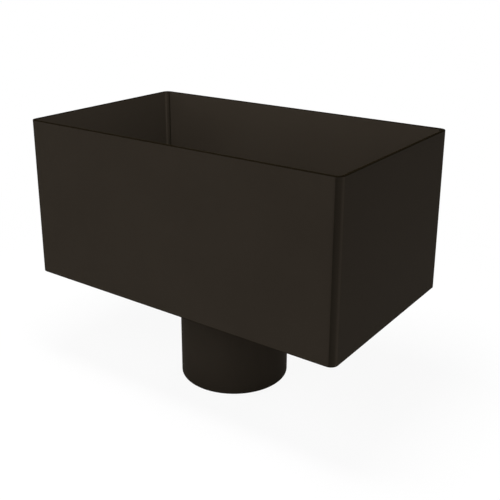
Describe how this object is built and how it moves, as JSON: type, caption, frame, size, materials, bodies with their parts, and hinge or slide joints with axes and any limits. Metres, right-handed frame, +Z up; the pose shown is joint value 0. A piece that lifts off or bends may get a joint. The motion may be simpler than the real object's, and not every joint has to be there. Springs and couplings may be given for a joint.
{
  "type": "downpipe hopper head",
  "caption": "Open-topped rectangular rainwater hopper of folded sheet with a flat base and a round outlet tube that leads into a downpipe.",
  "frame": {"origin": "on the axis of the outlet tube, at its lower end", "axes": "+Z up, out of the open top; +Y to the wall behind the box; +X along the wall"},
  "size_m": [0.24, 0.14, 0.18],
  "materials": {
    "powder_coat": "semi-matt brown-black powder coat with a fine, even texture"
  },
  "bodies": {
    "root": {"box_sleeve": "powder_coat", "base_plate": "powder_coat", "outlet_tube": "powder_coat"}
  },
  "joints": []
}
